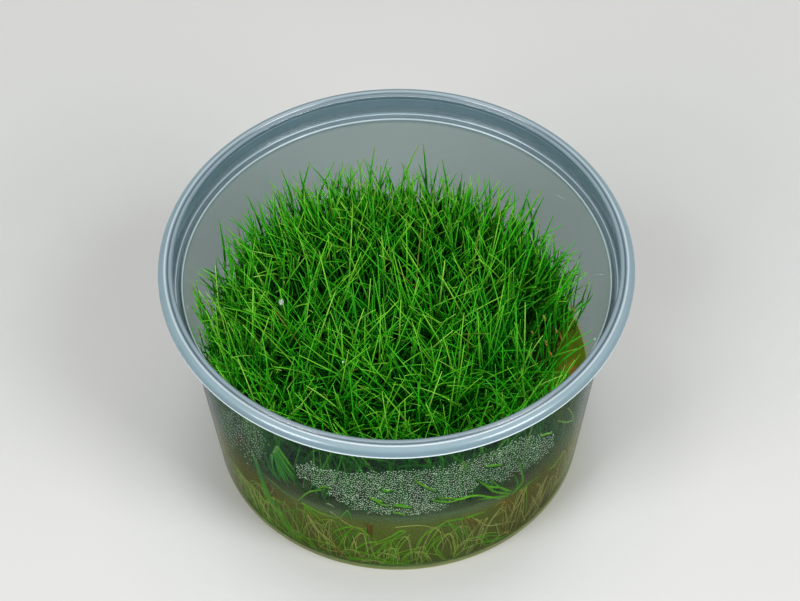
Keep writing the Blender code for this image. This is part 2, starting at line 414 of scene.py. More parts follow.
def gelLine():
    bottom = cup["floor"] + gel["rise"]
    edge = wallInside((gel["level"] + gel["meniscus"]) * mm) / mm - gel["clearance"]
    top = [(edge * ring / gel["rings"], gel["level"]) for ring in range(gel["rings"])]
    side = easedLine([(edge, gel["level"] + gel["meniscus"], 0),
                      (wallInside(bottom * mm) / mm - gel["clearance"], bottom, gel["footRounding"]),
                      (0, bottom, 0)], gel["cornerSteps"])
    return top + side


def gelSurface(radius, height, angle):
    if abs(height - gel["level"]) > gel["waveBand"]:
        return radius, height
    edge = wallInside(gel["level"] * mm) / mm
    climb = gel["meniscus"] * max(0.0, (radius - edge + gel["climb"]) / gel["climb"]) ** 3
    a, b, c, d = gel["waves"]
    wave = math.sin(radius * a + b * math.sin(angle)) * math.cos(radius * c - d * math.cos(angle))
    return radius, height + climb + gel["unevenness"] * wave


def amberGel():
    sheet = Sheet("amber_gel_surface")
    place = sheet.place()
    cloud = sheet.noise(place, *gel["cloud"])
    x, y, height = sheet.axes(place)
    # greener where the leaves hang down inside it
    middle = sheet.ease(x * x, *gel["greenAcross"]) * sheet.fade(y, gel["greenBack"])
    middleShare, cloudShare = gel["greenShares"]
    green = middle * middleShare + sheet.ease(cloud, *gel["cloudShow"]) * cloudShare
    colour = sheet.blend(green, gel["colour"], gel["green"])
    top = sheet.fade(height, gel["topHeight"]) * sheet.fade(y, gel["topBack"])
    stain = sheet.ease(sheet.noise(place, *gel["stain"]), *gel["stainShow"])
    colour = sheet.blend(top, colour, sheet.blend(stain, gel["top"], gel["topStain"]))
    # painted shade: the surface under the turf is darkened, right up to the wall at the back
    under = sheet.fade((x * x + y * y) ** 0.5 - gel["underBack"] * y, gel["underRadius"]) * top
    colour = sheet.blend(under, colour, gel["shade"])
    bump = sheet.node("ShaderNodeBump", {}, {
        "Strength": gel["rippleStrength"], "Distance": gel["rippleDepth"] * mm,
        "Height": sheet.noise(place, *gel["ripple"])})
    jelly = sheet.node("ShaderNodeBsdfPrincipled", {}, {
        "Base Color": colour, "Roughness": gel["roughness"], "IOR": gel["bend"],
        "Transmission Weight": gel["clearness"], "Normal": bump})
    volume = sheet.node("ShaderNodeVolumeAbsorption", {}, {
        "Color": (*gel["absorption"], 1.0), "Density": gel["density"]})
    return sheet.finish(sheet.letLampsThrough(jelly, gel["lampTint"]), volume)


addPiece("agar", turnedMesh("agar", gelLine(), gel["segments"], gelSurface), amberGel(),
         ["agar_gel"])
print("gel made")


# fine tubes: leaves and roots

def unit(vectors):
    return vectors / np.maximum(np.linalg.norm(vectors, axis=-1, keepdims=True), 1e-12)


# directions round a line, from the two that cross it
def ringAround(across, upward, turn):
    return across[..., None, :] * np.cos(turn)[:, None] + upward[..., None, :] * np.sin(turn)[:, None]


# paths (count, rings, 3) and radii (count, rings), both in metres, joined into one mesh; each tube has
# a tone, and a map whose columns are tones and whose rows run along the tube
def tubeMesh(name, paths, radii, tones, sides=4, columns=64):
    count, rings = paths.shape[:2]
    ahead = unit(np.gradient(paths, axis=1))
    chord = unit(paths[:, -1] - paths[:, 0])
    axis = np.zeros_like(chord)
    axis[np.arange(count), np.argmin(np.abs(chord), axis=1)] = 1.0
    across = unit(axis[:, None, :] - ahead * np.sum(axis[:, None, :] * ahead, axis=-1, keepdims=True))
    ring = ringAround(across, np.cross(ahead, across), np.arange(sides) * 2 * math.pi / sides)
    verts = paths[:, :, None, :] + ring * radii[:, :, None, None]
    first = (np.arange(count) * rings * sides)[:, None, None]
    level = (np.arange(rings - 1) * sides)[None, :, None]
    side = np.arange(sides)[None, None, :]
    after = (side + 1) % sides
    lower = first + level
    faces = np.stack(np.broadcast_arrays(
        lower + side, lower + after, lower + sides + after, lower + sides + side), axis=-1).reshape(-1, 4)
    tips = (first[:, :, 0] + (rings - 1) * sides + np.arange(sides)[None, :])
    tails = (first[:, :, 0] + np.arange(sides)[::-1][None, :])
    mesh = smoothMesh(name, verts.reshape(-1, 3).tolist(), faces.tolist() + tips.tolist() + tails.tolist())
    along = np.broadcast_to(np.linspace(0, 1, rings)[None, :, None], (count, rings, sides))
    tone = np.broadcast_to(np.asarray(tones)[:, None, None], (count, rings, sides))
    for label, numbers in (("along", along), ("tone", tone)):
        layer = mesh.attributes.new(label, "FLOAT", "POINT")
        layer.data.foreach_set("value", np.ascontiguousarray(numbers, dtype=np.float32).ravel())
    column = np.floor(tone * columns).ravel()
    loops = np.zeros(len(mesh.loops), dtype=np.int64)
    mesh.loops.foreach_get("vertex_index", loops)
    around = np.broadcast_to(np.arange(sides)[None, None, :] / sides, (count, rings, sides)).ravel()
    sideGap, endGap = 0.1, 0.02       # free margins round each tube's part of the map
    u = (column[loops] + sideGap + (1 - 2 * sideGap) * around[loops]) / columns
    v = endGap + (1 - 2 * endGap) * along.ravel()[loops]
    layer = mesh.uv_layers.new(name="OFBake")
    layer.data.foreach_set("uv", np.stack([u, v], axis=1).astype(np.float32).ravel())
    return mesh


# a tone within the range of the colour ramps
def toneWithin(tone, least=0.0, most=0.999):
    return min(most, max(least, tone))


# the turf

turf = {
    "crowns": 780, "reach": 39.0, "jitter": 0.85,          # mm
    "sides": (0, 25, 50, 90, 130, 155, 180, 215, 245, 295, 325, 345, 360),
    "sideReach": (36.0, 37.5, 37.5, 37.0, 37.0, 38.0, 38.8, 38.8, 38.0, 38.0, 38.8, 37.5, 36.0),
    "leaves": (5, 8), "moreAtBack": 7, "rings": 11,
    "radius": (0.16, 0.245), "footSpread": 0.35,           # mm
    # kinds of leaf: share, lean and droop in radians, length in mm
    "kinds": ((0.50, (0.0, 0.60), (0.0, 0.22), (22.0, 34.0)),
              (0.30, (0.25, 0.80), (0.1, 0.60), (28.0, 44.0)),
              (0.20, (0.60, 1.00), (-0.2, 0.2), (26.0, 40.0))),
    "twist": 0.10, "taper": (0.62, 0.3), "steepest": 1.75, "leastLean": 0.03, "mostLean": 1.2,
    "behind": (2.0, 14.0), "tries": 7,
    # how far past the wall a tip may grow, how far short of it at the back, and where the back starts
    "pastWall": 0.4, "backGap": 1.5, "backTips": 10.0,      # mm
    # how many leaves of each kind end at the canopy, how far they stray from it, and how low the
    # others end, in mm below it
    "topShare": (0.18, 0.52, 0.55), "topSpread": 1.6, "topLift": 0.8,
    "under": (5.5, 16.0), "underAtBack": (1.5, 8.5), "backFrom": 20.0,
    "fan": {"left": 0.38, "right": 0.26, "back": 0.10, "front": 0.42}, "calm": 0.35,
    "upright": 0.36, "away": 0.14,                         # towards the back, leaves lean less to the sides
    "canopy": 44.8, "backCanopy": 48.5, "thinCanopy": 37.0,
    # where the canopy rises at the back and sinks over the bare patch at the right, in mm
    "backRise": {"from": 10.0, "over": 16.0, "wide": 36.0},
    "thinSink": {"from": 26.0, "over": 6.0, "middle": -6.0, "wide": 16.0},
    "bare": {"from": 27.5, "lowFrom": 28.0, "middle": -5.0, "half": 15.0, "share": 0.82},
    # how far up the view the turf reaches, in mm above the rim's middle, by x
    "viewX": (-40, -34, -28, -21, -10, 0, 8, 15, 22, 28, 34, 40),
    "viewTop": (-1, 6, 12, 15.5, 17, 16.5, 15.5, 14, 12, 9, 4.5, -3),
    "brown": 0.012, "brownTones": (0.17, 0.27), "tone": (0.62, 0.17), "darkest": 0.3,
    "wallGap": 0.35, "frontGap": 1.3, "frontFrom": 12.0, "seed": 7,
}


# height of the leaf tips over a place, all in metres; the turf rounds down towards the back wall
def canopy(x, y):
    x, y = x / mm, y / mm
    rise, sink = turf["backRise"], turf["thinSink"]
    back = np.clip((y - rise["from"]) / rise["over"], 0, 1) * np.clip(1.0 - np.abs(x) / rise["wide"], 0, 1)
    thin = (np.clip((x - sink["from"]) / sink["over"], 0, 1)
            * np.clip(1.0 - np.abs(y - sink["middle"]) / sink["wide"], 0, 1))
    height = turf["canopy"] + (turf["backCanopy"] - turf["canopy"]) * back
    stepBack, stepUp = cameraView["rise"]
    viewTop = np.interp(x, turf["viewX"], turf["viewTop"])
    height = np.minimum(height, cup["height"] - (stepBack * y - viewTop) / stepUp)
    return (height + (turf["thinCanopy"] - height) * thin) * mm


# the bare patch at the right, from an x, in mm
def isBare(x, y, start):
    return x > turf["bare"][start] and abs(y - turf["bare"]["middle"]) < turf["bare"]["half"]


# keeps points inside the wall
def keepInside(points, gap):
    radius = np.maximum(np.hypot(points[..., 0], points[..., 1]), 1e-9)
    limit = wallInside(points[..., 2]) - gap
    scale = np.minimum(1.0, limit / radius)
    points[..., 0] *= scale
    points[..., 1] *= scale
    return points


def crownPlaces(chance):
    places = []
    for i in range(turf["crowns"]):
        radius = turf["reach"] * math.sqrt((i + 0.5) / turf["crowns"])
        angle = i * math.pi * (3 - math.sqrt(5))
        x = radius * math.cos(angle) + chance.gauss(0, turf["jitter"])
        y = radius * math.sin(angle) + chance.gauss(0, turf["jitter"])
        side = math.degrees(math.atan2(y, x)) % 360
        if math.hypot(x, y) > np.interp(side, turf["sides"], turf["sideReach"]):
            continue
        if isBare(x, y, "from") and chance.random() < turf["bare"]["share"]:
            continue
        places.append((x * mm, y * mm))
    return places


# how wide a leaf is along its length: a little narrower at the foot, and thin from a share of it on
def taper(rings, start, point=0.12):
    t = np.linspace(0, 1, rings)
    thin = np.maximum((t - start) / (1 - start), 0) ** 1.3
    return np.where(t < start, 0.85 + 0.15 * t / start, 1 - (1 - point) * thin)


# the middle line of one leaf from its foot
def leafPath(foot, heading, lean, droop, twist, length, rings=turf["rings"]):
    path, step = [foot], length / (rings - 1)
    for k in range(1, rings):
        t = (k - 0.5) / (rings - 1)
        slope = min(lean + droop * t ** 1.5, turf["steepest"])
        turned = heading + twist * t
        path.append(path[-1] + step * np.array([
            math.sin(slope) * math.cos(turned), math.sin(slope) * math.sin(turned), math.cos(slope)]))
    return np.array(path)


def growLeaves(x, y, chance):
    paths, radii, tones = [], [], []
    outward = math.atan2(y, x)
    atBack = y > turf["backFrom"] * mm
    edge = math.hypot(x, y) / (turf["reach"] * mm)
    calm = 1 - turf["calm"] * edge ** 2
    fanX = turf["fan"]["right" if x > 0 else "left"] * edge ** 1.5 * math.cos(outward)
    fanY = turf["fan"]["back" if y > 0 else "front"] * edge ** 1.5 * math.sin(outward)
    behind = min(1.0, max(0.0, (y / mm - turf["behind"][0]) / turf["behind"][1]))
    for _ in range(chance.randint(*turf["leaves"]) + (turf["moreAtBack"] if atBack else 0)):
        foot = np.array([x + chance.gauss(0, turf["footSpread"] * mm),
                         y + chance.gauss(0, turf["footSpread"] * mm), leafFoot])
        pick = chance.random()
        kind = 0 if pick < turf["kinds"][0][0] else 2 if pick > 1 - turf["kinds"][2][0] else 1
        _, tilts, droops, lengths = turf["kinds"][kind]
        tilt, droop = chance.uniform(*tilts), chance.uniform(*droops)
        length = chance.uniform(*lengths) * mm
        twist = chance.gauss(0, turf["twist"])
        for _ in range(turf["tries"]):
            heading = chance.uniform(0, 2 * math.pi)
            leanX = tilt * calm * (1 - turf["upright"] * behind) * math.cos(heading) + fanX
            leanY = tilt * calm * math.sin(heading) + fanY + turf["away"] * behind * max(0.0, 1 - edge ** 2)
            lean = min(math.hypot(leanX, leanY) + turf["leastLean"], turf["mostLean"])
            path = leafPath(foot, math.atan2(leanY, leanX), lean, droop, twist, length)
            end = path[-1]
            beyond = math.hypot(end[0], end[1]) - wallInside(end[2])
            if beyond < (-turf["backGap"] if end[1] > turf["backTips"] * mm else turf["pastWall"]) * mm:
                break
        if chance.random() < turf["topShare"][kind]:
            below = abs(chance.gauss(0, turf["topSpread"])) - turf["topLift"]
        else:
            below = chance.uniform(*turf["underAtBack" if atBack else "under"])
        roof = max(canopy(end[0], end[1]) - below * mm, lowestTip)
        if end[2] > roof:
            path = path[0] + (path - path[0]) * (roof - path[0, 2]) / (end[2] - path[0, 2])
        paths.append(path)
        radii.append(chance.uniform(*turf["radius"]) * mm * taper(turf["rings"], *turf["taper"]))
        isBrown = chance.random() < turf["brown"]
        tones.append(chance.uniform(*turf["brownTones"]) if isBrown else
                     toneWithin(chance.gauss(*turf["tone"]), turf["darkest"]))
    return paths, radii, tones


leafLook = {
    "stops": ((0.0, (0.20, 0.030, 0.010)), (0.08, (0.25, 0.10, 0.02)), (0.18, (0.16, 0.15, 0.02)),
              (0.30, (0.006, 0.15, 0.002)), (0.60, (0.028, 0.29, 0.004)), (0.85, (0.140, 0.41, 0.022)),
              (1.0, (0.24, 0.49, 0.060))),
    "pressedStops": ((0.0, (0.13, 0.040, 0.012)), (0.15, (0.25, 0.10, 0.02)), (0.22, (0.16, 0.20, 0.02)),
                     (0.30, (0.02, 0.40, 0.003)), (0.55, (0.13, 0.46, 0.004)), (0.80, (0.29, 0.56, 0.012)),
                     (1.0, (0.46, 0.70, 0.05))),
    # painted shade: the dark green low in the turf
    "paintedShade": (0.001, 0.118, 0.0004),
    "tip": (0.10, 0.145, 0.025),
    "foot": (0.33, 0.36, 0.14),
    "roughness": 0.36, "gloss": 0.16, "bend": 1.42, "shading": 0.95,
    "vein": (900.0, 2.0), "veinRoughness": 0.12,
    "tipAlong": (0.84, 1.0, 0.0, 0.80), "footAlong": (0.09, 0.02, 0.0, 0.7),
    # fades in mm, and between which shares: brown tips, the painted shade low in the turf, and how much
    # higher the painted shade reaches at the back, in metres
    "tipHeight": (45.2, 47.5, 0.05, 1.0), "shadeHeight": (43.5, 31.5), "shadeRadius": (39.5, 24.0, 0.50, 1.0),
    "backShadeLift": (8.0, 26.0, 0.0, 0.0042),
}


def leafGreen(name, stops, shading):
    sheet = Sheet(name)
    tone = sheet.values("tone")
    along = sheet.values("along")
    green = sheet.node("ShaderNodeValToRGB", {"stops": stops}, {0: tone})
    x, y, height = sheet.axes(sheet.place())
    tip = sheet.ease(along, *leafLook["tipAlong"]) * sheet.fade(height, leafLook["tipHeight"])
    foot = sheet.ease(along, *leafLook["footAlong"])
    # painted shade: darker low down in the thick of the turf
    lift = sheet.fade(y, leafLook["backShadeLift"])
    paintedShade = (sheet.fade(height - lift, (*leafLook["shadeHeight"], 0.0, shading))
            * sheet.fade((x * x + y * y) ** 0.5, leafLook["shadeRadius"]))
    green = sheet.blend(paintedShade, green, leafLook["paintedShade"])
    colour = sheet.blend(foot, sheet.blend(tip, green, leafLook["tip"]), leafLook["foot"])
    vein = sheet.noise(sheet.place(), *leafLook["vein"])
    surface = sheet.node("ShaderNodeBsdfPrincipled", {}, {
        "Base Color": colour, "Roughness": leafLook["roughness"] + leafLook["veinRoughness"] * vein,
        "IOR": leafLook["bend"], "Specular IOR Level": leafLook["gloss"]})
    return sheet.finish(surface)


leafMaterial = leafGreen("leaf_green_surface", leafLook["stops"], leafLook["shading"])
pressedLeafMaterial = leafGreen("pressed_leaf_surface", leafLook["pressedStops"], 0.0)
chance = random.Random(turf["seed"])
tuftNames = sorted(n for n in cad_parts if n.startswith("tuft_"))
tuftMiddles = np.array([(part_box(n)[0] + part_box(n)[1]) * 0.5 for n in tuftNames])[:, :2]
grown = {name: ([], [], []) for name in tuftNames}
turfPlaces = crownPlaces(chance)
for x, y in turfPlaces:
    leafSet = growLeaves(x, y, chance)
    nearest = tuftNames[int(np.argmin(np.hypot(*(tuftMiddles - (x, y)).T)))]
    for store, found in zip(grown[nearest], leafSet):
        store.extend(found)


# single blades that stand above the turf: tip pixel, tip height in mm, and how far the foot is
# from under the tip, in mm to the right and towards the back
tallBlades = {
    "tips": (
        (219, 219, 47, 0.5, -1.0), (246, 194, 46, 4.0, -3.0), (281, 169, 49, 2.5, -1.5),
        (299, 169, 48, 0.8, -1.0), (310, 162, 48, -2.0, -1.5), (335, 161, 48, -5.0, -2.5),
        (365, 158, 49, -6.5, -2.0), (375, 147, 50, -1.5, -2.5), (418, 146, 49, -4.5, -2.5),
        (423, 143, 50, 0.5, -1.5), (442, 159, 48, 1.5, -3.0), (457, 173, 47, -5.0, -2.0),
        (473, 181, 47, -5.5, -2.5), (500, 180, 46, -6.0, -2.5), (513, 184, 46, -7.0, -2.0),
        (525, 193, 46, 2.0, -2.0), (544, 197, 45, -3.5, -1.5), (553, 233, 44, 0.5, -2.5),
        (575, 241, 44, -6.5, -2.5), (229, 219, 46, 9.0, 1.0), (192, 291, 45, 5.0, -3.0),
        (189, 305, 43, 5.5, -2.0), (385, 170, 48, 2.0, -2.0), (345, 168, 47, 2.0, -3.0),
        (591, 301, 42, -9.0, 0.0), (595, 339, 38, -12.0, -2.0), (592, 330, 38, -11.0, -1.0),
        (552, 313, 43, -1.5, -1.0), (586, 275, 43, -13.0, -1.0), (578, 283, 42, -12.0, -2.0)),
    "bow": 1.2, "bend": 0.16, "radius": 0.26,      # bow in mm, and more of it for a leaf that leans
    "tone": (0.4, 0.75), "taper": (0.72, 0.34),
    # more blades along the turf's back edge: how far above it, tip height and foot, in mm
    "fringe": 290, "above": 3.3, "lowered": 0.5, "height": (42.0, 48.5), "footShare": 0.84,
    "footSpread": 3.0, "fringeRadius": (0.21, 0.28), "fringeBow": (0.2, 2.4), "wallGap": 1.5,
}


def addTallBlade(tipPoint, foot, radius, bow):
    lean = tipPoint - foot
    t = np.linspace(0, 1, turf["rings"])[:, None]
    aside = np.array([lean[0], lean[1], 0.0])
    bow = bow * mm + tallBlades["bend"] * np.linalg.norm(aside)
    path = foot + lean * t - unit(aside) * np.sin(t ** 1.5 * math.pi) * bow
    nearest = tuftNames[int(np.argmin(np.hypot(*(tuftMiddles - foot[:2]).T)))]
    grown[nearest][0].append(path)
    grown[nearest][1].append(radius * mm * taper(turf["rings"], *tallBlades["taper"]))
    grown[nearest][2].append(chance.uniform(*tallBlades["tone"]))


# blades along the turf's back edge, as the view shows it
def addFringe():
    share, spread = tallBlades["footShare"], tallBlades["footSpread"]
    stepBack, stepUp = cameraView["rise"]
    for _ in range(tallBlades["fringe"]):
        x = chance.uniform(turf["viewX"][0], turf["viewX"][-1])
        z = chance.uniform(*tallBlades["height"])
        above = abs(chance.gauss(0, tallBlades["above"])) - tallBlades["lowered"]
        y = (np.interp(x, turf["viewX"], turf["viewTop"]) + above - stepUp * (z - cup["height"])) / stepBack
        footX, footY = x * share + chance.gauss(0, spread), y * share + chance.gauss(0, spread)
        radius, bow = chance.uniform(*tallBlades["fringeRadius"]), chance.uniform(*tallBlades["fringeBow"])
        tipInside = math.hypot(x, y) < wallInside(z * mm) / mm - tallBlades["wallGap"]
        if tipInside and math.hypot(footX, footY) < turf["reach"]:
            addTallBlade(np.array([x, y, z]) * mm, np.array([footX * mm, footY * mm, leafFoot]), radius, bow)


for pixelX, pixelY, height, right, backward in tallBlades["tips"]:
    tipPoint = heightPoint(pixelX, pixelY, height)
    addTallBlade(tipPoint, np.array([tipPoint[0] + right * mm, tipPoint[1] + backward * mm, leafFoot]),
                 tallBlades["radius"], tallBlades["bow"])
addFringe()

leafCount = 0
for name in tuftNames:
    paths, radii, tones = grown[name]
    paths = np.array(paths)
    front = np.clip(-1 - paths[..., 1] / (turf["frontFrom"] * mm), 0, 1)
    paths = keepInside(paths, (turf["wallGap"] + (turf["frontGap"] - turf["wallGap"]) * front) * mm)
    mesh = tubeMesh(name + "_leaves", paths, np.array(radii), tones)
    addPiece(name + "_leaves", mesh, leafMaterial, [name])
    leafCount += len(tones)


# short leaves that close the turf towards the wall at the back and the sides
lowLeaves = {
    "count": 1500, "from": -30, "to": 208, "inner": 30.0, "outer": 40.0,      # degrees and mm
    "below": (1.6, 10.5), "wave": 2.6, "waves": (7, 3), "tilt": 0.20, "droop": (-0.1, 0.3),
    "radius": (0.15, 0.22), "taper": (0.6, 0.3), "tone": (0.30, 0.54), "rings": 7, "seed": 51,
}


def growLowLeaves(chance):
    low, paths, radii, tones = lowLeaves, [], [], []
    for _ in range(low["count"]):
        side = math.radians(chance.uniform(low["from"], low["to"]))
        radius = math.sqrt(chance.uniform(low["inner"] ** 2, low["outer"] ** 2)) * mm
        x, y = radius * math.cos(side), radius * math.sin(side)
        wave = math.sin(low["waves"][0] * side) * math.cos(low["waves"][1] * side)
        below = chance.uniform(*low["below"]) + low["wave"] * (0.5 + 0.5 * wave)
        roof = max(canopy(x, y) - below * mm, lowestTip)
        heading, lean = chance.uniform(0, 2 * math.pi), abs(chance.gauss(0, low["tilt"]))
        path = leafPath(np.array([x, y, leafFoot]), heading, lean, chance.uniform(*low["droop"]), 0.0,
                        roof - leafFoot, low["rings"])
        thick, tone = chance.uniform(*low["radius"]) * mm, chance.uniform(*low["tone"])
        if not isBare(x / mm, y / mm, "lowFrom"):
            paths.append(path)
            radii.append(thick * taper(low["rings"], *low["taper"]))
            tones.append(tone)
    return keepInside(np.array(paths), turf["wallGap"] * mm), np.array(radii), tones


chance = random.Random(lowLeaves["seed"])
lowPaths, lowRadii, lowTones = growLowLeaves(chance)
addPiece("low_leaves", tubeMesh("low_leaves", lowPaths, lowRadii, lowTones, 3), leafMaterial)
print("turf made,", leafCount + len(lowTones), "leaves")


# roots in the gel

roots = {
    "perCrown": (2, 4), "inner": 22.0, "length": (6.0, 19.0), "radius": (0.05, 0.10), "rings": 9,   # mm
    "dip": (0.7, 1.5), "wander": 0.30, "dipWander": 0.6, "start": 0.4, "depth": 2.0, "wallGap": 0.45,
    "taper": 0.4, "tone": (0.55, 0.22),
}


def rootPath(x, y, top, chance):
    heading = chance.uniform(0, 2 * math.pi)
    dip = chance.uniform(*roots["dip"])
    step = chance.uniform(*roots["length"]) * mm / (roots["rings"] - 1)
    point = np.array([x, y, top])
    path = [point]
    for _ in range(roots["rings"] - 1):
        heading += chance.gauss(0, roots["wander"])
        dip += chance.gauss(0, roots["dipWander"] * roots["wander"])
        point = point + step * np.array([
            math.cos(dip) * math.cos(heading), math.cos(dip) * math.sin(heading), -abs(math.sin(dip))])
        point[2] = max(point[2], roots["depth"] * mm)
        path.append(point)
    return keepInside(np.array(path), roots["wallGap"] * mm)


rootLook = {
    "stops": ((0.0, (0.48, 0.17, 0.09)), (0.25, (0.55, 0.34, 0.20)), (0.6, (0.60, 0.55, 0.33)),
              (1.0, (0.80, 0.77, 0.62))),
    "mottle": (0.30, 0.26, 0.10), "mottleNoise": (700.0, 2.0), "mottleShare": 0.3,
    "roughness": 0.45, "mottleRoughness": 0.1, "bend": 1.4,
}


def rootCream():
    sheet = Sheet("root_cream_surface")
    colour = sheet.node("ShaderNodeValToRGB", {"stops": rootLook["stops"]}, {0: sheet.values("tone")})
    mottle = sheet.noise(sheet.place(), *rootLook["mottleNoise"])
    surface = sheet.node("ShaderNodeBsdfPrincipled", {}, {
        "Base Color": sheet.blend(mottle * rootLook["mottleShare"], colour, rootLook["mottle"]),
        "Roughness": rootLook["roughness"] + rootLook["mottleRoughness"] * mottle, "IOR": rootLook["bend"]})
    return sheet.finish(surface)


rootMaterial = rootCream()
rootPaths, rootTones = [], []
for x, y in turfPlaces:
    nearWall = math.hypot(x, y) > roots["inner"] * mm
    for _ in range(chance.randint(*roots["perCrown"]) if nearWall else 1):
        rootPaths.append(rootPath(x, y, (gel["level"] - roots["start"]) * mm, chance))
        rootTones.append(toneWithin(chance.gauss(*roots["tone"])))
rootShape = taper(roots["rings"], roots["taper"])
rootRadii = np.array([chance.uniform(*roots["radius"]) * mm * rootShape for _ in rootPaths])
addPiece("roots", tubeMesh("roots", np.array(rootPaths), rootRadii, rootTones, sides=3), rootMaterial)
print("roots made,", len(rootPaths))


# plantlets, leaf bits and roots pressed against the wall

# where the sight line through a pixel meets the wall's inside
def wallPoint(pixelX, pixelY, far=False):
    eye = np.array(cameraView["place"])
    line = sightLine(pixelX, pixelY)
    cone = wallInside(0.0) + wallSlope * eye[2]
    a = line[0] ** 2 + line[1] ** 2 - (wallSlope * line[2]) ** 2
    b = eye[0] * line[0] + eye[1] * line[1] - cone * wallSlope * line[2]
    c = eye[0] ** 2 + eye[1] ** 2 - cone ** 2
    root = math.sqrt(max(b * b - a * c, 0.0))
    return eye + line * ((-b + root) / a if far else (-b - root) / a)


# a smooth path of even steps through points
def smoothPath(points, rings):
    points = np.array(points, float)
    knots = np.concatenate([[2 * points[0] - points[1]], points, [2 * points[-1] - points[-2]]])
    dense = []
    for a, b, c, d in zip(knots, knots[1:], knots[2:], knots[3:]):
        for t in np.linspace(0, 1, 8, endpoint=False):
            dense.append(0.5 * (2 * b + (c - a) * t + (2 * a - 5 * b + 4 * c - d) * t ** 2
                                + (3 * b - a - 3 * c + d) * t ** 3))
    dense.append(points[-1])
    dense = np.array(dense)
    way = np.concatenate([[0], np.cumsum(np.linalg.norm(np.diff(dense, axis=0), axis=1))])
    even = np.linspace(0, way[-1], rings)
    return np.stack([np.interp(even, way, dense[:, k]) for k in range(dense.shape[1])], axis=1)


# the pixels of a stroke, in even steps
def strokePixels(stroke, rings):
    return smoothPath(np.reshape(stroke[2:], (-1, 2)), rings)


